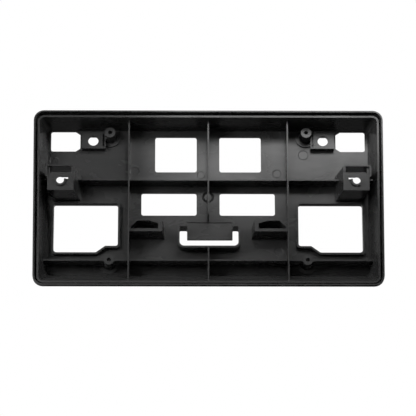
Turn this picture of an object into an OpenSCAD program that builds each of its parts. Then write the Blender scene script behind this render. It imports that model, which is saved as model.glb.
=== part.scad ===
// Number plate holder for a car bumper: one moulded tray that carries the plate on its flat
// front and is screwed to the bumper through the posts and pads on its ribbed back.
// The part stands upright as it is fixed: X runs across the car, Z up, the back looks to -Y.

/* [Plate] */
// Distance between the plate screws across
screw_spacing_x = 177.8; // [165:0.1:190]
// Distance between the plate screws up and down
screw_spacing_z = 120.65; // [112:0.05:124]
// Diameter of the pilot hole for a plate screw
pilot_d = 3.6; // [2.5:0.1:5]

/* [Tray] */
// Half the width of the floor between the side walls, level with the middle of the plate screws
floor_half_w = 145; // [144:0.1:154]
// How much the floor widens on each side for each millimetre up
side_taper = 0.01; // [0:0.002:0.02]
// Height of the floor's upper edge over the middle of the plate screws
floor_top = 67; // [66:0.1:70]
// Depth of the floor's lower edge under the middle of the plate screws
floor_bottom = 70.4; // [68:0.1:74]
// Radius of the floor's corners
floor_corner_r = 4; // [3:0.5:10]
// Thickness of the floor panel
floor_t = 3; // [2.2:0.1:4]
// Thickness of the outer wall where it leaves the front face
wall_t = 2.6; // [2:0.1:3.4]
// Height of the inner edge of the rim over the floor
ledge_h = 33; // [28:0.5:36]
// Lean of the side walls, outward for each millimetre of height
side_flare = 0.19; // [0.05:0.01:0.22]
// Lean of the top wall
top_flare = 0.04; // [0:0.01:0.15]
// Lean of the bottom wall
bottom_flare = 0.46; // [0.2:0.01:0.5]
// Radius on the front edge of the tray
front_edge_r = 1.4; // [0.6:0.1:2]
// Size of the fillet between the floor and the bottom wall
bottom_fillet = 6; // [2:0.5:8]

/* [Gate mark] */
// Height of the round mark of the mould's gate over the middle of the plate screws
gate_z = 3.4; // [0:0.1:6]
// Outer radius of the mark's groove
gate_r = 5; // [3:0.1:6]
// Width of the groove
gate_groove_w = 1; // [0.6:0.1:1.5]
// Depth of the groove
gate_groove_depth = 0.7; // [0.3:0.1:1]

/* [Rim] */
// How far the outer lip stands over the inner edge
lip_rise = 4; // [2:0.5:6]
// Thickness of the inner edge
ledge_t = 1.8; // [1.4:0.1:2.4]
// Width of the groove between the inner edge and the outer lip
groove_w = 1.9; // [1.4:0.1:2.6]
// Depth of the groove under the inner edge
groove_depth = 11; // [4:0.5:14]
// Thickness of the outer lip
lip_t = 1.4; // [1.2:0.1:2]

/* [Ribs] */
// Thickness of the ribs
rib_t = 1.3; // [1:0.1:2.2]
// Height of the upright ribs over the floor
upright_rib_h = 25; // [20:0.5:28]
// Distance of each side rib from the middle
side_rib_x = 71.4; // [68:0.1:76]
// Height of the level ribs over the floor
level_rib_h = 17; // [12:0.5:20]
// Height of the middle level rib over the middle of the plate screws
middle_rib_z = 14.3; // [12:0.1:18]
// How far the lower level rib runs under the middle of the lower plate screws
lower_rib_drop = 1.1; // [0:0.1:2]

/* [Screw bosses] */
// Height of the plate screw bosses
boss_h = 15; // [11:0.5:18]
// Diameter of a boss at its foot
boss_foot_d = 12; // [10:0.1:14]
// Diameter of a boss at its tip
boss_tip_d = 9.5; // [8:0.1:11]
// Diameter of the raised disc round the foot of a boss
boss_disc_d = 18.4; // [15:0.1:20]
// Height of the raised disc
boss_disc_h = 1.5; // [0.8:0.1:2]

/* [Bumper posts] */
// Height of the two posts that seat on the bumper
post_h = 35; // [31:0.5:38]
// Distance of a post's screw hole from the middle
post_hole_x = 132.6; // [130:0.1:134]
// Height of a post's screw hole over the middle of the plate screws
post_hole_z = 7.8; // [6:0.1:10]
// Diameter of a post's screw hole
post_hole_d = 7; // [6:0.1:9]
// Distance from the hole to the outer face of the post
post_outer = 11.5; // [9:0.1:11.5]
// Distance from the hole to the inner face of the post at its tip
post_inner = 12; // [10:0.1:14]
// Distance from the hole down to the lower face of the post
post_below = 9.3; // [9:0.1:12]
// Distance from the hole up to the top face of the post at its tip
post_above = 14.5; // [13:0.1:15.5]
// Thickness of the post's walls and cap
post_wall = 2.2; // [1.8:0.1:3]
// How far the top face of a post climbs from its tip to the front
post_top_lean = 3.5; // [2:0.1:5]
// How far the inner face of a post runs out from its tip to the front
post_inner_lean = 6.4; // [3:0.1:8]
// Radius of the lower outer corner of a post at the front, none at its tip
post_foot_r = 11; // [6:0.5:12]
// Thickness of the wall over the open strip in a post's tip
strip_wall = 1.2; // [1:0.1:2]
// Height of the open strip over the cap
strip_w = 5.5; // [4:0.1:6]
// How far the post's outer wall stands out beside the open strip
strip_bulge = 1.8; // [1:0.1:2.5]
// Size of the cut corner of the cap beside the open strip
cap_cut = 3; // [2:0.1:4]
// Distance from the hole up to the step across the cap
step_up = 1.5; // [0.5:0.1:3]
// Depth of the step across the cap
step_depth = 0.9; // [0.5:0.1:1.2]
// Height of the collar round the screw hole
collar_h = 1; // [0.6:0.1:2]
// Thickness of the collar
collar_t = 1.8; // [1:0.1:2.2]
// Width of the moat round the collar
moat_w = 1.2; // [0.8:0.1:1.6]
// Depth of the moat round the collar
moat_depth = 1.3; // [0.8:0.1:1.5]
// Length of the slot that runs from the screw hole
tail_len = 3.7; // [2:0.1:5]
// Width of that slot
tail_w = 2.1; // [1.5:0.1:3]

/* [Upper screw pads] */
// Distance of a pad's hole from the middle
pad_hole_x = 104.3; // [103:0.1:106]
// Height of a pad's hole over the middle of the plate screws
pad_hole_z = 55.1; // [53:0.1:56]
// Diameter of a pad's hole
pad_hole_d = 9.4; // [8:0.1:11]
// Distance from the hole to the inner edge of the pad
pad_inner = 8.5; // [8:0.1:9.5]
// Distance from the hole to the outer edge of the pad
pad_outer = 10.2; // [8:0.1:10.5]
// Distance from the hole down to the lower edge of the pad
pad_below = 7.3; // [6.8:0.1:9]
// Distance from the hole up to the upper edge of the pad
pad_above = 7.9; // [6.8:0.1:9]
// Height of a pad over the floor
pad_h = 7; // [6:0.1:11]
// Thickness of a pad's face
pad_t = 2.6; // [2:0.1:3]
// Thickness of a pad's side walls
pad_wall = 1.3; // [1:0.1:1.6]
// Gap between a pad and the rib beside it
tie_gap = 1.4; // [1:0.1:1.8]

/* [Windows] */
// Inner edge of the upper centre windows from the middle
upper_win_x0 = 10.3; // [8:0.1:12]
// Outer edge of the upper centre windows from the middle
upper_win_x1 = 48.1; // [46:0.1:54]
// Lower edge of the upper centre windows
upper_win_z0 = 27.3; // [24:0.1:30]
// Upper edge of the upper centre windows
upper_win_z1 = 61.5; // [58:0.1:64]
// Inner edge of the middle windows from the middle
middle_win_x0 = 10.4; // [8:0.1:12]
// Outer edge of the middle windows from the middle
middle_win_x1 = 60.4; // [56:0.1:66]
// Lower edge of the middle windows
middle_win_z0 = -14.1; // [-18:0.1:-13]
// Upper edge of the middle windows
middle_win_z1 = 7.5; // [5:0.1:11]
// Inner edge of the outer upper windows from the middle
corner_win_x0 = 116.3; // [115.4:0.1:119]
// Width of the floor left beside the outer upper windows
corner_win_margin = 2; // [1:0.1:4]
// Width of the cut inner corners of the outer upper windows
corner_cut_x = 4.2; // [2:0.1:6]
// Height of those cut corners
corner_cut_z = 2.8; // [1.5:0.1:4]
// Lower edge of the outer upper windows
corner_win_z0 = 47.2; // [44:0.1:50]
// Inner edge of the large windows from the middle
large_win_x0 = 81.3; // [78:0.1:86]
// Outer edge of the large windows from the middle
large_win_x1 = 139.2; // [136:0.1:142]
// Lower edge of the large windows
large_win_z0 = -50.3; // [-52:0.1:-47]
// Upper edge of the large windows
large_win_z1 = -4; // [-8:0.1:-3]
// Height of the step in the inner lower corner of the large windows
large_win_step = 6.1; // [4:0.1:8]
// Inner end of the step's slope, from the middle
step_x0 = 92.6; // [90:0.1:98]
// Outer end of the step's slope, from the middle
step_x1 = 101; // [99:0.1:106]
// Radius of the windows' corners
window_r = 2; // [1:0.1:3]
// Height of the lip round the large windows
window_lip_h = 4.5; // [2:0.1:6]
// Thickness of that lip
window_lip_t = 1.8; // [1.4:0.1:2.4]

/* [Slot and tongue] */
// Left end of the slot
slot_x0 = -25.7; // [-30:0.1:-24]
// Right end of the slot
slot_x1 = 27.2; // [25:0.1:31]
// Lower edge of the slot
slot_z0 = -46.2; // [-49:0.1:-45]
// Upper edge of the slot's two arms
slot_z1 = -28; // [-30:0.1:-26]
// Left edge of the tongue between the arms
tongue_x0 = -19; // [-20:0.1:-16]
// Right edge of the tongue
tongue_x1 = 22; // [20:0.1:24]
// Lower edge of the tongue
tongue_z0 = -36.8; // [-38:0.1:-34]
// Upper end of the tongue's sunk face
tongue_z1 = -20.6; // [-22:0.1:-18]
// How deep the tongue's face is sunk
tongue_sink = 0.8; // [0.4:0.1:1.2]
// Radius of the slot's lower corners
slot_r = 4; // [2:0.1:5]
// Height of the lip round the slot
slot_lip_h = 12; // [8:0.1:14]
// Thickness of that lip
slot_lip_t = 1.8; // [1.4:0.1:2.2]

/* [Stand-off boxes] */
// Height of the two open boxes on the side ribs
box_h = 19; // [15:0.5:22]
// Inner end of a box from the middle, at its foot
box_x0 = 39.2; // [36:0.1:44]
// Lower face of a box at its open end
box_z0 = -35; // [-37:0.1:-33]
// Upper face of a box
box_z1 = -23.7; // [-25:0.1:-21]
// Thickness of a box's lower wall
box_low_t = 2.7; // [1.6:0.1:3]
// Thickness of a box's upper wall
box_top_t = 1.3; // [1:0.1:2]
// Thickness of a box's inner end wall
box_end_t = 3.6; // [2:0.1:4]
// Size of the cut outer corner of a box
box_chamfer = 7; // [4:0.1:8]
// Draft of a box's inner end, over its whole height
box_draft = 2.2; // [0:0.1:3]
// Draft of a box's lower face, over its whole height
box_low_draft = 1.8; // [0:0.1:3]

/* [Hidden] */

cut = 1;
bite = 0.6;
// Wider than a post or a box in every direction
span = 60;
arc_steps = 6;
rim_t = ledge_t + groove_w + lip_t;
rim_h = ledge_h + lip_rise;
lower_rib_z = -screw_spacing_z / 2 - lower_rib_drop;
corner_win_x1 = floor_half_w - corner_win_margin;
pad_x0 = pad_hole_x - pad_inner;
pad_x1 = pad_hole_x + pad_outer;
tie_x = pad_x0 - tie_gap;
pad_z0 = pad_hole_z - pad_below;
pad_z1 = pad_hole_z + pad_above;

// Half the inner width of the tray at height h over the floor and z over the plate screws' middle
function side_at(h, z) = floor_half_w + side_flare * h + side_taper * z;

// Upper and lower edge of the tray's inside at height h
function top_at(h) = floor_top + top_flare * h;
function bottom_at(h) = -floor_bottom - bottom_flare * h;

function unit(v) = v / norm(v);

// The points that round corner b, between its neighbours a and c, to radius r
function corner_arc(a, b, c, r) =
    let (
        u = unit(a - b),
        v = unit(c - b),
        opening = acos(u * v),
        turn = sign(u[0] * v[1] - u[1] * v[0]),
        centre = b + unit(u + v) * r / sin(opening / 2),
        from_centre = b + u * r / tan(opening / 2) - centre,
        start = atan2(from_centre[1], from_centre[0])
    )
    [for (i = [0 : arc_steps])
        let (angle = start - turn * (180 - opening) * i / arc_steps)
        centre + r * [cos(angle), sin(angle)]];

// A closed outline with every corner rounded to its own radius
function rounded(points, radii) =
    let (count = len(points))
    [for (i = [0 : count - 1])
        each corner_arc(points[(i + count - 1) % count], points[i], points[(i + 1) % count], radii[i])];

function rectangle(x0, z0, x1, z1) = [[x0, z0], [x1, z0], [x1, z1], [x0, z1]];

// The tray's outline at height h, grown outward by grow, with its corners at radius r
function tray_outline(h, grow, r) =
    let (
        z0 = bottom_at(h) - grow,
        z1 = top_at(h) + grow,
        low = side_at(h, z0) + grow,
        high = side_at(h, z1) + grow
    )
    rounded([[-low, z0], [low, z0], [high, z1], [-high, z1]], [r, r, r, r]);

module slab(h, points) {
    translate([0, 0, h])
        linear_extrude(0.01)
            polygon(points);
}

module prism(h0, h1, points) {
    translate([0, 0, h0])
        linear_extrude(h1 - h0)
            polygon(points);
}

// A wall or rib of thickness t centred on x, drawn by its profile in z and height
module upright_profile(x, t, points) {
    translate([x - t / 2, 0, 0])
        rotate([90, 0, 90])
            linear_extrude(t)
                polygon(points);
}

// A level rib of thickness t centred on z, drawn by its profile in x and height
module level_profile(z, t, points) {
    translate([0, z + t / 2, 0])
        rotate([90, 0, 0])
            linear_extrude(t)
                polygon(points);
}

// The space the whole tray fills, from the front face to the outer lip
module tray_body() {
    hull() {
        slab(-floor_t, tray_outline(-floor_t, wall_t - front_edge_r, floor_corner_r + wall_t));
        slab(-floor_t + front_edge_r, tray_outline(-floor_t, wall_t, floor_corner_r + wall_t));
        slab(ledge_h, tray_outline(ledge_h, rim_t, floor_corner_r + rim_t));
    }
    prism(ledge_h - bite, rim_h, tray_outline(ledge_h, rim_t, floor_corner_r + rim_t));
}

module tray_inside() {
    hull() {
        slab(0, tray_outline(0, 0, floor_corner_r));
        slab(ledge_h + cut, tray_outline(ledge_h + cut, 0, floor_corner_r));
    }
}

// Thickness of the wall, rim included, at height h
function wall_at(h) =
    wall_t + (rim_t - wall_t) * (h + floor_t - front_edge_r) / (ledge_h + floor_t - front_edge_r);

module rim_groove() {
    h0 = ledge_h - groove_depth;
    outer0 = wall_at(h0) - lip_t;
    outer1 = rim_t - lip_t;
    difference() {
        union() {
            hull() {
                slab(h0, tray_outline(h0, outer0, floor_corner_r + outer0));
                slab(ledge_h, tray_outline(ledge_h, outer1, floor_corner_r + outer1));
            }
            prism(ledge_h, rim_h + cut, tray_outline(ledge_h, outer1, floor_corner_r + outer1));
        }
        hull() {
            slab(h0 - cut, tray_outline(h0 - cut, ledge_t, floor_corner_r + ledge_t));
            slab(ledge_h, tray_outline(ledge_h, ledge_t, floor_corner_r + ledge_t));
        }
    }
}

module tray() {
    difference() {
        tray_body();
        tray_inside();
        rim_groove();
    }
}

// Round groove that the mould's gate leaves in the floor
module gate_mark() {
    translate([0, gate_z, -gate_groove_depth])
        difference() {
            cylinder(r = gate_r, h = gate_groove_depth + cut, $fn = 48);
            translate([0, 0, -cut])
                cylinder(r = gate_r - gate_groove_w, h = gate_groove_depth + 3 * cut, $fn = 48);
        }
}

module upright_ribs() {
    full_profile = [
        [top_at(0) + bite, -bite],
        [top_at(upright_rib_h) + bite, upright_rib_h],
        [bottom_at(upright_rib_h) - bite, upright_rib_h],
        [bottom_at(0) - bite, -bite]
    ];
    for (side = [-1, 1])
        upright_profile(side * side_rib_x, rib_t, full_profile);
    upright_profile(0, rib_t, [
        [top_at(0) + bite, -bite],
        [top_at(upright_rib_h) + bite, upright_rib_h],
        [tongue_z1, upright_rib_h],
        [tongue_z1, -bite]
    ]);
    lip_foot = slot_z0 - slot_lip_t;
    upright_profile(0, rib_t, [
        [lip_foot + bite, -bite],
        [lip_foot + bite, slot_lip_h - bite],
        [lip_foot - 3, slot_lip_h],
        [lip_foot - 4, upright_rib_h],
        [bottom_at(upright_rib_h) - bite, upright_rib_h],
        [bottom_at(0) - bite, -bite]
    ]);
}

// Fillet along the foot of the bottom wall
module wall_fillet() {
    r = bottom_fillet;
    foot = bottom_at(0);
    half_w = side_at(0, foot);
    arc = [for (i = [0 : arc_steps])
        let (a = 90 * i / arc_steps)
        [bottom_at(r) + (foot + r - bottom_at(r)) * (1 - cos(a)), r * (1 - sin(a))]];
    translate([-half_w, 0, 0])
        rotate([90, 0, 90])
            linear_extrude(2 * half_w)
                polygon(concat([[bottom_at(r) - bite, r]], arc,
                               [[foot + r, -bite], [foot - bite, -bite]]));
}

module level_ribs() {
    for (z = [middle_rib_z, lower_rib_z])
        level_profile(z, rib_t, [
            [-side_at(0, z) - bite, -bite],
            [side_at(0, z) + bite, -bite],
            [side_at(level_rib_h, z) + bite, level_rib_h],
            [-side_at(level_rib_h, z) - bite, level_rib_h]
        ]);
}

module at_plate_screws() {
    for (x = [-1, 1], z = [-1, 1])
        translate([x * screw_spacing_x / 2, z * screw_spacing_z / 2, 0])
            children();
}

module screw_boss() {
    translate([0, 0, -bite])
        cylinder(d = boss_disc_d, h = boss_disc_h + bite, $fn = 64);
    cylinder(d1 = boss_foot_d, d2 = boss_tip_d, h = boss_h, $fn = 64);
}

// Places its children on the right and, mirrored, on the left
module both_sides() {
    children();
    mirror([1, 0, 0])
        children();
}

// Right post: the edges of its tip
post_x0 = post_hole_x - post_inner;
post_x1 = post_hole_x + post_outer;
post_z0 = post_hole_z - post_below;
post_z1 = post_hole_z + post_above;

// Edges of the open strip in the tip
strip_x0 = post_x0 + post_wall;
strip_z1 = post_z1 - strip_wall;
strip_z0 = strip_z1 - strip_w;

// Lofted from the tip to a foot that is wider and has a large lower outer corner
module post_body() {
    hull() {
        slab(-floor_t, rounded(
            rectangle(post_x0 - post_inner_lean, post_z0, post_x1, post_z1 + post_top_lean),
            [1, post_foot_r, 1.5, 5]));
        slab(post_h - 0.01, rounded(
            rectangle(post_x0, post_z0, post_x1, post_z1), [0.4, 0.4, 0.8, 2.4]));
    }
    // The outer wall stands out beside the open strip
    prism(-bite, post_h, rounded(
        rectangle(post_x1 - post_wall, strip_z0 - cap_cut - strip_wall,
                  post_x1 + strip_bulge, post_z1),
        [0.4, 1.2, 2, 0.4]));
}

module post_hollow() {
    x0 = post_x0 + post_wall;
    x1 = post_x1 - post_wall;
    z0 = post_z0 + post_wall;
    top = post_h - post_wall;
    intersection() {
        prism(-floor_t - cut, top, rounded(
            rectangle(x0 - post_inner_lean, z0, x1, strip_z1 + post_top_lean),
            [0.6, post_foot_r - post_wall, 0.6, 3]));
        upright_profile((x0 + x1) / 2, span, [
            [z0, -floor_t - cut],
            [z0, top],
            [strip_z1, top],
            [strip_z1 + post_top_lean, -floor_t - cut]
        ]);
        level_profile((post_z0 + post_z1) / 2, span, [
            [x0 - post_inner_lean, -floor_t - cut],
            [x1, -floor_t - cut],
            [x1, top],
            [x0, top]
        ]);
    }
    // The open strip over the cap, with the cap's cut corner
    prism(top - bite, post_h + cut, [
        [strip_x0, strip_z0],
        [post_x1 - cap_cut - 0.4, strip_z0],
        [post_x1 - 1.4, strip_z0 - cap_cut],
        [post_x1, strip_z0 - cap_cut],
        [post_x1, strip_z1],
        [strip_x0, strip_z1]
    ]);
}

module post_collar() {
    translate([post_hole_x, post_hole_z, post_h - bite])
        cylinder(d = post_hole_d + 2 * collar_t, h = collar_h + bite, $fn = 64);
}

// Moat round the collar: a quarter on the inner side and a short piece beyond a bridge
module post_moat() {
    inner = post_hole_d / 2 + collar_t;
    outer = inner + moat_w;
    translate([post_hole_x, post_hole_z, 0])
        intersection() {
            difference() {
                translate([0, 0, post_h - moat_depth])
                    cylinder(r = outer, h = moat_depth + cut, $fn = 64);
                translate([0, 0, post_h - moat_depth - cut])
                    cylinder(r = inner, h = moat_depth + 3 * cut, $fn = 64);
                prism(0, post_h + 2 * cut, rectangle(-0.6, -outer - cut, 0.9, 0));
            }
            prism(0, post_h + 2 * cut, [
                [-outer - cut, 0.6],
                [-outer - cut, -outer - cut],
                [outer * 0.5, -outer - cut],
                [outer * 0.5, 0],
                [0, 0.6]
            ]);
        }
}

// The strip of the cap above the step lies a little lower than its lower part
module post_step() {
    prism(post_h - step_depth, post_h + collar_h + cut,
          rectangle(post_x0 - cut, post_hole_z + step_up, post_x1 - post_wall / 2, strip_z0 + cut));
}

module post_hole() {
    translate([post_hole_x, post_hole_z, post_h - post_wall - cut])
        cylinder(d = post_hole_d, h = post_wall + collar_h + 2 * cut, $fn = 64);
    // The slot that runs from the hole towards the middle
    slot_low = post_hole_z + post_hole_d / 2 - tail_w - 0.3;
    prism(post_h - post_wall - cut, post_h + collar_h + cut,
          rectangle(post_hole_x - post_hole_d / 2 - tail_len, slot_low,
                    post_hole_x - post_hole_d / 4, slot_low + tail_w));
}

module pad_body() {
    prism(-floor_t, pad_h, rectangle(pad_x0, pad_z0, pad_x1, pad_z1));
    // Thin rib between the pad and the boss
    prism(-bite, pad_h, rectangle(tie_x - rib_t, pad_z0, tie_x, screw_spacing_z / 2));
    prism(-bite, pad_h, rectangle(tie_x - rib_t, pad_z0, pad_x0 + bite, pad_z0 + rib_t));
}

// Recess for the screw head, open to the front
module pad_recess() {
    prism(-floor_t - cut, pad_h - pad_t,
          rectangle(pad_x0 + pad_wall, pad_z0 + pad_wall, pad_x1 - pad_wall, pad_z1 - pad_wall));
}

module pad_hole() {
    translate([pad_hole_x, pad_hole_z, pad_h - pad_t - cut])
        cylinder(d = pad_hole_d, h = pad_t + 2 * cut, $fn = 64);
}

function large_window() = [
    [large_win_x0, large_win_z1],
    [large_win_x0, large_win_z0 + large_win_step],
    [step_x0, large_win_z0 + large_win_step],
    [step_x1, large_win_z0],
    [large_win_x1, large_win_z0],
    [large_win_x1, large_win_z1]
];

function large_window_outside(t) = [
    [large_win_x0 - t, large_win_z1 + t],
    [large_win_x0 - t, large_win_z0 + large_win_step - t],
    [step_x0 - t * 0.35, large_win_z0 + large_win_step - t],
    [step_x1 - t * 0.35, large_win_z0 - t],
    [large_win_x1 + t, large_win_z0 - t],
    [large_win_x1 + t, large_win_z1 + t]
];

module window_lip() {
    prism(-bite, window_lip_h,
          rounded(large_window_outside(window_lip_t),
                  [window_r + 1, window_r + 1, 1, 4, window_r + 1, window_r + 1]));
}

module side_windows() {
    prism(-floor_t - cut, cut,
          rounded(rectangle(upper_win_x0, upper_win_z0, upper_win_x1, upper_win_z1),
                  [window_r, window_r, window_r, window_r]));
    prism(-floor_t - cut, cut,
          rounded(rectangle(middle_win_x0, middle_win_z0, middle_win_x1, middle_win_z1),
                  [window_r, window_r, window_r, window_r]));
    prism(-floor_t - cut, cut,
          rounded([[corner_win_x0 + corner_cut_x, corner_win_z0],
                   [corner_win_x1, corner_win_z0],
                   [corner_win_x1, floor_top - 0.2],
                   [corner_win_x0 + corner_cut_x, floor_top - 0.2],
                   [corner_win_x0, floor_top - 0.2 - corner_cut_z],
                   [corner_win_x0, corner_win_z0 + corner_cut_z]],
                  [1, window_r, window_r, 1, 1, 1]));
    prism(-floor_t - cut, window_lip_h + cut,
          rounded(large_window(), [window_r, window_r, 1.4, 3, window_r + 1, window_r]));
}

function slot_outline(grow) = [
    [slot_x0 - grow, slot_z1 + grow],
    [slot_x0 - grow, slot_z0 - grow],
    [slot_x1 + grow, slot_z0 - grow],
    [slot_x1 + grow, slot_z1 + grow],
    [tongue_x1 - grow, slot_z1 + grow],
    [tongue_x1 - grow, tongue_z0 + grow],
    [tongue_x0 + grow, tongue_z0 + grow],
    [tongue_x0 + grow, slot_z1 + grow]
];

module slot_lip() {
    t = slot_lip_t;
    difference() {
        prism(-bite, slot_lip_h,
              rounded(rectangle(slot_x0 - t, slot_z0 - t, slot_x1 + t, slot_z1 + t),
                      [slot_r + t, slot_r + t, 3, 3]));
        // Open over the tongue
        prism(tongue_sink, slot_lip_h + cut,
              rectangle(tongue_x0, tongue_z0 - cut, tongue_x1, slot_z1 + t + cut));
    }
}

module slot_cut() {
    prism(-floor_t - cut, slot_lip_h + cut,
          rounded(slot_outline(0), [1.2, slot_r, slot_r, 1.2, 1, 0.6, 0.6, 1]));
}

module tongue_face() {
    prism(-tongue_sink, cut,
          rectangle(tongue_x0, tongue_z0 - cut, tongue_x1, tongue_z1));
}

// Right box: its outer end is the side rib
module stand_off() {
    x1 = side_rib_x;
    tip_x0 = box_x0 + box_draft;
    hole_x0 = tip_x0 + box_end_t;
    hole_x1 = x1 - box_top_t - rib_t / 2;
    hole_z0 = box_z0 + box_low_t;
    hole_z1 = box_z1 - box_top_t;
    difference() {
        intersection() {
            prism(-bite, box_h, [
                [box_x0, box_z0 - box_low_draft],
                [x1, box_z0 - box_low_draft],
                [x1, box_z1 - box_chamfer],
                [x1 - box_chamfer, box_z1],
                [tip_x0 + 1, box_z1],
                [box_x0, box_z1 - 2]
            ]);
            level_profile((box_z0 + box_z1) / 2, span, [
                [box_x0, -bite],
                [x1, -bite],
                [x1, box_h],
                [tip_x0, box_h]
            ]);
            upright_profile((box_x0 + x1) / 2, span, [
                [box_z0 - box_low_draft, -bite],
                [box_z0, box_h],
                [box_z1, box_h],
                [box_z1, -bite]
            ]);
        }
        prism(0, box_h + cut, [
            [hole_x0, hole_z0],
            [hole_x1, hole_z0],
            [hole_x1, box_z1 - box_chamfer],
            [x1 - box_chamfer - box_top_t / 2, hole_z1],
            [hole_x0 + 8, hole_z1],
            [hole_x0, hole_z1 - 2.6]
        ]);
    }
}

module plate_holder() {
    color([0.05, 0.05, 0.055])
        rotate([90, 0, 0])
            translate([0, -post_hole_z, -post_h])
                difference() {
                    union() {
                        difference() {
                            tray();
                            gate_mark();
                        }
                        upright_ribs();
                        level_ribs();
                        wall_fillet();
                        // The discs stop inside the tray's walls
                        intersection() {
                            prism(-bite, boss_h, tray_outline(0, bite, floor_corner_r));
                            at_plate_screws()
                                screw_boss();
                        }
                        slot_lip();
                        both_sides() {
                            post_body();
                            post_collar();
                            pad_body();
                            window_lip();
                            stand_off();
                        }
                    }
                    at_plate_screws() {
                        translate([0, 0, -floor_t - cut])
                            cylinder(d = pilot_d, h = floor_t + boss_h + 2 * cut, $fn = 32);
                        // Notch in a rib that passes over a boss
                        translate([0, 0, boss_h])
                            cylinder(d = boss_foot_d, h = max(level_rib_h - boss_h, 0) + cut, $fn = 64);
                    }
                    both_sides() {
                        post_hollow();
                        post_step();
                        post_moat();
                        post_hole();
                        pad_recess();
                        pad_hole();
                        side_windows();
                    }
                    slot_cut();
                    tongue_face();
                }
}

plate_holder();
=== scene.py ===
import math

import bpy
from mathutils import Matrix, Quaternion, Vector


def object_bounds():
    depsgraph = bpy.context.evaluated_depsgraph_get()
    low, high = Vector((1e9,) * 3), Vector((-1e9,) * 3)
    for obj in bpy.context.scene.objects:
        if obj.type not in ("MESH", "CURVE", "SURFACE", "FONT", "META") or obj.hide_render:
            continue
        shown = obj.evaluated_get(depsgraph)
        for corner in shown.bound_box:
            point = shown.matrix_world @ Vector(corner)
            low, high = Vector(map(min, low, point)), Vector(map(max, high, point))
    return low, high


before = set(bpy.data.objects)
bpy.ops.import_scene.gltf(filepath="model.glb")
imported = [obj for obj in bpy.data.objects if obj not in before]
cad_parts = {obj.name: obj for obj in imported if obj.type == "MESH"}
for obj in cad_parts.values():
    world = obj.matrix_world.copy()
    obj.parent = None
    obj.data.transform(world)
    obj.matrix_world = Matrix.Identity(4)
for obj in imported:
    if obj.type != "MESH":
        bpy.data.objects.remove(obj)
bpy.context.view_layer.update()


# Plate holder
# One tray of black plastic, moulded in one shot, seen from the ribbed side that faces the bumper.
# Its edges are slightly rounded by the mould, and its skin is smooth with a faint grain.
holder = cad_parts["plate_holder"]


def round_mark():
    """Node group: a flat disc on the panel's ribbed side, 1 inside its radius and 0 outside."""
    soft_edge = 0.0004
    group = bpy.data.node_groups.new("round mark", "ShaderNodeTree")
    group.interface.new_socket("Position", in_out="INPUT", socket_type="NodeSocketVector")
    group.interface.new_socket("Centre", in_out="INPUT", socket_type="NodeSocketVector")
    group.interface.new_socket("Radius", in_out="INPUT", socket_type="NodeSocketFloat")
    group.interface.new_socket("Disc", in_out="OUTPUT", socket_type="NodeSocketFloat")
    nodes = group.nodes
    links = group.links
    given = nodes.new("NodeGroupInput")
    result = nodes.new("NodeGroupOutput")
    offset = nodes.new("ShaderNodeVectorMath")
    offset.operation = "SUBTRACT"
    links.new(given.outputs["Position"], offset.inputs[0])
    links.new(given.outputs["Centre"], offset.inputs[1])
    # Depth counts three times, so that the disc reaches neither the front nor a rib's tip
    deepened = nodes.new("ShaderNodeVectorMath")
    deepened.operation = "MULTIPLY"
    deepened.inputs[1].default_value = (1, 3, 1)
    links.new(offset.outputs["Vector"], deepened.inputs[0])
    reach = nodes.new("ShaderNodeVectorMath")
    reach.operation = "LENGTH"
    links.new(deepened.outputs["Vector"], reach.inputs[0])
    inside = nodes.new("ShaderNodeMath")
    inside.operation = "SUBTRACT"
    links.new(given.outputs["Radius"], inside.inputs[0])
    links.new(reach.outputs["Value"], inside.inputs[1])
    edge = nodes.new("ShaderNodeMapRange")
    edge.interpolation_type = "SMOOTHSTEP"
    edge.inputs["From Min"].default_value = -soft_edge
    edge.inputs["From Max"].default_value = soft_edge
    links.new(inside.outputs["Value"], edge.inputs["Value"])
    links.new(edge.outputs["Result"], result.inputs["Disc"])
    return group


# The ribbed side of the panel lies at this y
PANEL_Y = 0.035
# Where the mould's gate and its ejector pins touched the panel: x, z, radius and share of the
# full depth. The gate has a groove around it, and so two edges.
MOULD_MARKS = [
    (0, -0.0044, 0.0050, 1),
    (0, -0.0044, 0.0036, 1),
    (-0.0664, 0.0560, 0.0038, 0.5),
    (0.0624, 0.0560, 0.0038, 0.5),
    (-0.0664, 0.0205, 0.0038, 0.5),
    (0.0626, 0.0181, 0.0038, 0.5),
    (-0.0065, 0.0167, 0.0034, 0.5),
    (0.0867, 0.0361, 0.0043, 0.5),
    (-0.1397, 0.0302, 0.0040, 0.5),
    (-0.1075, 0.0015, 0.0040, 0.5),
    (0.0636, -0.0558, 0.0038, 0.5),
]


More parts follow.
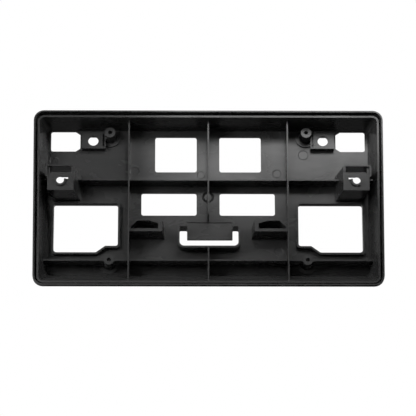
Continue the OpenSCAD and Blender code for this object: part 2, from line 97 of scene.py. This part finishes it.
def moulded_plastic():
    """Black semi-gloss plastic: cloudy flow streaks, a fine grain and the marks of the mould."""
    material = bpy.data.materials.new("black moulded plastic")
    material.use_nodes = True
    nodes = material.node_tree.nodes
    links = material.node_tree.links
    nodes.clear()
    output = nodes.new("ShaderNodeOutputMaterial")
    plastic = nodes.new("ShaderNodeBsdfPrincipled")
    plastic.inputs["IOR"].default_value = 1.5
    plastic.inputs["Specular IOR Level"].default_value = 0.3
    links.new(plastic.outputs["BSDF"], output.inputs["Surface"])
    place = nodes.new("ShaderNodeTexCoord")

    # Streaks that run along the tray, wider than high
    stretch = nodes.new("ShaderNodeVectorMath")
    stretch.operation = "MULTIPLY"
    stretch.inputs[1].default_value = (0.35, 1, 1)
    links.new(place.outputs["Object"], stretch.inputs[0])
    streaks = nodes.new("ShaderNodeTexNoise")
    streaks.inputs["Scale"].default_value = 70
    streaks.inputs["Detail"].default_value = 3
    streaks.inputs["Distortion"].default_value = 0.6
    links.new(stretch.outputs["Vector"], streaks.inputs["Vector"])
    clouds = nodes.new("ShaderNodeTexNoise")
    clouds.inputs["Scale"].default_value = 28
    clouds.inputs["Detail"].default_value = 2
    links.new(place.outputs["Object"], clouds.inputs["Vector"])
    cover = nodes.new("ShaderNodeMath")
    cover.operation = "ADD"
    links.new(streaks.outputs["Fac"], cover.inputs[0])
    links.new(clouds.outputs["Fac"], cover.inputs[1])
    cover_low = 0.8
    cover_high = 1.2

    # All marks in one sum, each with its share of the depth
    discs = None
    mark_group = round_mark()
    for x, z, radius, share in MOULD_MARKS:
        mark = nodes.new("ShaderNodeGroup")
        mark.node_tree = mark_group
        mark.inputs["Centre"].default_value = (x, PANEL_Y, z)
        mark.inputs["Radius"].default_value = radius
        links.new(place.outputs["Object"], mark.inputs["Position"])
        both = nodes.new("ShaderNodeMath")
        both.operation = "MULTIPLY_ADD"
        both.inputs[1].default_value = share
        both.inputs[2].default_value = 0
        links.new(mark.outputs["Disc"], both.inputs[0])
        if discs:
            links.new(discs, both.inputs[2])
        discs = both.outputs["Value"]

    # Colour: the streaks are a little paler
    tint = nodes.new("ShaderNodeMapRange")
    tint.inputs["From Min"].default_value = cover_low
    tint.inputs["From Max"].default_value = cover_high
    tint.inputs["To Min"].default_value = 0.032
    tint.inputs["To Max"].default_value = 0.046
    links.new(cover.outputs["Value"], tint.inputs["Value"])
    colour = nodes.new("ShaderNodeCombineColor")
    for channel in ("Red", "Green", "Blue"):
        links.new(tint.outputs["Result"], colour.inputs[channel])
    links.new(colour.outputs["Color"], plastic.inputs["Base Color"])

    # Gloss: the streaks and the marks are a little smoother
    sheen = nodes.new("ShaderNodeMapRange")
    sheen.inputs["From Min"].default_value = cover_low
    sheen.inputs["From Max"].default_value = cover_high
    sheen.inputs["To Min"].default_value = 0.3
    sheen.inputs["To Max"].default_value = 0.21
    links.new(cover.outputs["Value"], sheen.inputs["Value"])
    polish = nodes.new("ShaderNodeMath")
    polish.operation = "MULTIPLY_ADD"
    polish.inputs[1].default_value = -0.04
    links.new(discs, polish.inputs[0])
    links.new(sheen.outputs["Result"], polish.inputs[2])
    links.new(polish.outputs["Value"], plastic.inputs["Roughness"])

    # Relief: the grain, with the marks pressed into it
    grain = nodes.new("ShaderNodeTexNoise")
    grain.inputs["Scale"].default_value = 1500
    grain.inputs["Detail"].default_value = 2
    links.new(place.outputs["Object"], grain.inputs["Vector"])
    fine = nodes.new("ShaderNodeBump")
    fine.inputs["Strength"].default_value = 0.25
    fine.inputs["Distance"].default_value = 0.00004
    links.new(grain.outputs["Fac"], fine.inputs["Height"])
    pressed = nodes.new("ShaderNodeBump")
    pressed.invert = True
    pressed.inputs["Strength"].default_value = 1
    pressed.inputs["Distance"].default_value = 0.0004
    links.new(discs, pressed.inputs["Height"])
    links.new(fine.outputs["Normal"], pressed.inputs["Normal"])
    links.new(pressed.outputs["Normal"], plastic.inputs["Normal"])
    return material


holder.data.materials.clear()
holder.data.materials.append(moulded_plastic())

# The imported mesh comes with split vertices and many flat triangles. They are joined, so that the
# bevel finds the real edges.
JOIN_DISTANCE = 0.000001
FLAT_ANGLE = 1
EDGE_ANGLE = 35
EDGE_WIDTH = 0.0003
EDGE_SEGMENTS = 2
weld = holder.modifiers.new("join faces", "WELD")
weld.merge_threshold = JOIN_DISTANCE
flat = holder.modifiers.new("join flat faces", "DECIMATE")
flat.decimate_type = "DISSOLVE"
flat.angle_limit = math.radians(FLAT_ANGLE)
edge = holder.modifiers.new("rounded edges", "BEVEL")
edge.limit_method = "ANGLE"
edge.angle_limit = math.radians(EDGE_ANGLE)
edge.width = EDGE_WIDTH
edge.segments = EDGE_SEGMENTS
edge.harden_normals = True


# Studio
# A pale floor and a white backdrop behind the holder, and one wide soft lamp near it, high on the
# right, with three others before it. The camera looks up from below the floor, which is clear
# from there.
STAGE_COLOUR = (0.82, 0.82, 0.82, 1)
WHITE = (1, 1, 1, 1)


def stage_plane(name, corners, always_white=False, lift=0, camera_only=False):
    """A flat stage surface, clear from its back. Lift makes it paler where the camera sees it."""
    mesh = bpy.data.meshes.new(name)
    mesh.from_pydata(corners, [], [(0, 1, 2, 3)])
    plane = bpy.data.objects.new(name, mesh)
    bpy.context.scene.collection.objects.link(plane)
    material = bpy.data.materials.new(name)
    mesh.materials.append(material)
    material.use_nodes = True
    nodes = material.node_tree.nodes
    links = material.node_tree.links
    nodes.clear()
    output = nodes.new("ShaderNodeOutputMaterial")
    matte = nodes.new("ShaderNodeBsdfDiffuse")
    matte.inputs["Color"].default_value = STAGE_COLOUR
    shown = matte.outputs["BSDF"]
    path = nodes.new("ShaderNodeLightPath")
    if lift:
        amount = nodes.new("ShaderNodeMath")
        amount.operation = "MULTIPLY"
        amount.inputs[1].default_value = lift
        links.new(path.outputs["Is Camera Ray"], amount.inputs[0])
        pale = nodes.new("ShaderNodeEmission")
        links.new(amount.outputs["Value"], pale.inputs["Strength"])
        sum_up = nodes.new("ShaderNodeAddShader")
        links.new(shown, sum_up.inputs[0])
        links.new(pale.outputs["Emission"], sum_up.inputs[1])
        shown = sum_up.outputs["Shader"]
    if always_white:
        white = nodes.new("ShaderNodeEmission")
        seen = nodes.new("ShaderNodeMath")
        seen.operation = "MAXIMUM"
        links.new(path.outputs["Is Camera Ray"], seen.inputs[0])
        links.new(path.outputs["Is Glossy Ray"], seen.inputs[1])
        through = nodes.new("ShaderNodeMath")
        through.operation = "MAXIMUM"
        links.new(seen.outputs["Value"], through.inputs[0])
        links.new(path.outputs["Is Transmission Ray"], through.inputs[1])
        pick = nodes.new("ShaderNodeMixShader")
        links.new(through.outputs["Value"], pick.inputs["Fac"])
        links.new(shown, pick.inputs[1])
        links.new(white.outputs["Emission"], pick.inputs[2])
        shown = pick.outputs["Shader"]
    side = nodes.new("ShaderNodeNewGeometry")
    clear = nodes.new("ShaderNodeBsdfTransparent")
    front = nodes.new("ShaderNodeMixShader")
    links.new(side.outputs["Backfacing"], front.inputs["Fac"])
    if camera_only:
        unseen = nodes.new("ShaderNodeMath")
        unseen.operation = "SUBTRACT"
        unseen.inputs[0].default_value = 1
        links.new(path.outputs["Is Camera Ray"], unseen.inputs[1])
        either = nodes.new("ShaderNodeMath")
        either.operation = "MAXIMUM"
        links.new(side.outputs["Backfacing"], either.inputs[0])
        links.new(unseen.outputs["Value"], either.inputs[1])
        links.new(either.outputs["Value"], front.inputs["Fac"])
    links.new(shown, front.inputs[1])
    links.new(clear.outputs["BSDF"], front.inputs[2])
    links.new(front.outputs["Shader"], output.inputs["Surface"])


# The floor before the holder is there for the camera only, so that it throws no light upwards.
FLOOR_GAP = 0.0005
FLOOR_HALF = 3.0
FLOOR_FRONT = -0.03
FLOOR_NEAR = -3.0
FLOOR_LIFT = 0.45
BACKDROP_Y = 1.6
BACKDROP_HALF = 0.36
BACKDROP_LOW = 0.16
BACKDROP_HIGH = 0.9
holder_low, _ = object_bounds()
floor_z = holder_low.z - FLOOR_GAP
stage_plane("floor", [
    (-FLOOR_HALF, FLOOR_FRONT, floor_z),
    (FLOOR_HALF, FLOOR_FRONT, floor_z),
    (FLOOR_HALF, BACKDROP_Y, floor_z),
    (-FLOOR_HALF, BACKDROP_Y, floor_z),
], lift=FLOOR_LIFT)
stage_plane("floor before the holder", [
    (-FLOOR_HALF, FLOOR_NEAR, floor_z),
    (FLOOR_HALF, FLOOR_NEAR, floor_z),
    (FLOOR_HALF, FLOOR_FRONT, floor_z),
    (-FLOOR_HALF, FLOOR_FRONT, floor_z),
], lift=FLOOR_LIFT, camera_only=True)
stage_plane("backdrop", [
    (-BACKDROP_HALF, BACKDROP_Y, BACKDROP_LOW),
    (BACKDROP_HALF, BACKDROP_Y, BACKDROP_LOW),
    (BACKDROP_HALF, BACKDROP_Y, BACKDROP_HIGH),
    (-BACKDROP_HALF, BACKDROP_Y, BACKDROP_HIGH),
], always_white=True)

# The world is white where the camera sees it. It lights the holder faintly, from behind.
WORLD_WAY = (0, 1, 0)
WORLD_LOW = 0.0
WORLD_HIGH = 0.16
world = bpy.data.worlds.new("studio")
bpy.context.scene.world = world
world.use_nodes = True
nodes = world.node_tree.nodes
links = world.node_tree.links
way = nodes.new("ShaderNodeTexCoord")
toward = nodes.new("ShaderNodeVectorMath")
toward.operation = "DOT_PRODUCT"
toward.inputs[1].default_value = WORLD_WAY
links.new(way.outputs["Generated"], toward.inputs[0])
glow = nodes.new("ShaderNodeMapRange")
glow.inputs["To Min"].default_value = WORLD_LOW
glow.inputs["To Max"].default_value = WORLD_HIGH
links.new(toward.outputs["Value"], glow.inputs["Value"])
fill = nodes["Background"]
fill.inputs["Color"].default_value = WHITE
links.new(glow.outputs["Result"], fill.inputs["Strength"])
path = nodes.new("ShaderNodeLightPath")
seen = nodes.new("ShaderNodeBackground")
seen.inputs["Color"].default_value = WHITE
seen.inputs["Strength"].default_value = 1
mix = nodes.new("ShaderNodeMixShader")
links.new(path.outputs["Is Camera Ray"], mix.inputs["Fac"])
links.new(fill.outputs["Background"], mix.inputs[1])
links.new(seen.outputs["Background"], mix.inputs[2])
links.new(mix.outputs["Shader"], nodes["World Output"].inputs["Surface"])

# All lamps face this point on the ribbed side of the panel
LAMP_AIM = Vector((0, PANEL_Y, 0))


def soft_lamp(name, azimuth, elevation, distance, size, power):
    """An area lamp that stands at an angle from the aim and faces it."""
    turn = math.radians(azimuth)
    rise = math.radians(elevation)
    way = Vector((
        math.sin(turn) * math.cos(rise),
        -math.cos(turn) * math.cos(rise),
        math.sin(rise),
    ))
    data = bpy.data.lights.new(name, "AREA")
    data.shape = "RECTANGLE"
    data.size = size[0]
    data.size_y = size[1]
    data.energy = power
    lamp = bpy.data.objects.new(name, data)
    bpy.context.scene.collection.objects.link(lamp)
    lamp.location = LAMP_AIM + way * distance
    lamp.rotation_mode = "QUATERNION"
    lamp.rotation_quaternion = way.to_track_quat("Z", "Y")


# Name, azimuth and elevation in degrees, distance, width and height, watts
LAMPS = [
    ("main lamp", 17, 28, 0.35, (0.29, 0.11), 0.7),
    ("front lamp", 0, 2, 1.1, (0.3, 0.3), 0.3),
    ("left lamp", -38, 6, 0.55, (0.2, 0.2), 1.4),
    ("right lamp", 50, 8, 0.55, (0.2, 0.2), 0.3),
]
for lamp_values in LAMPS:
    soft_lamp(*lamp_values)


# Camera
# It stands far off and a little left of the middle, and looks up at the holder from below.
CAMERA_DISTANCE = 2.4
CAMERA_AZIMUTH = -0.6
CAMERA_ELEVATION = -18.4
CAMERA_ROLL = -0.1
CAMERA_LENS = 229.6
SENSOR_WIDTH = 36
CLIP_END = 20
PLATE_MIDDLE = Vector((0, PANEL_Y, -0.0078))
AIM_SHIFT = Vector((-0.0001, 0, -0.0068))

aim = PLATE_MIDDLE + AIM_SHIFT
azimuth = math.radians(CAMERA_AZIMUTH)
elevation = math.radians(CAMERA_ELEVATION)
back = Vector((
    math.sin(azimuth) * math.cos(elevation),
    -math.cos(azimuth) * math.cos(elevation),
    math.sin(elevation),
))
camera_data = bpy.data.cameras.new("camera")
camera_data.lens = CAMERA_LENS
camera_data.sensor_width = SENSOR_WIDTH
camera_data.clip_end = CLIP_END
camera = bpy.data.objects.new("camera", camera_data)
bpy.context.scene.collection.objects.link(camera)
camera.location = aim + back * CAMERA_DISTANCE
camera.rotation_mode = "QUATERNION"
upright = back.to_track_quat("Z", "Y")
camera.rotation_quaternion = upright @ Quaternion((0, 0, 1), math.radians(CAMERA_ROLL))
bpy.context.scene.camera = camera

bpy.context.scene.view_settings.view_transform = "Standard"
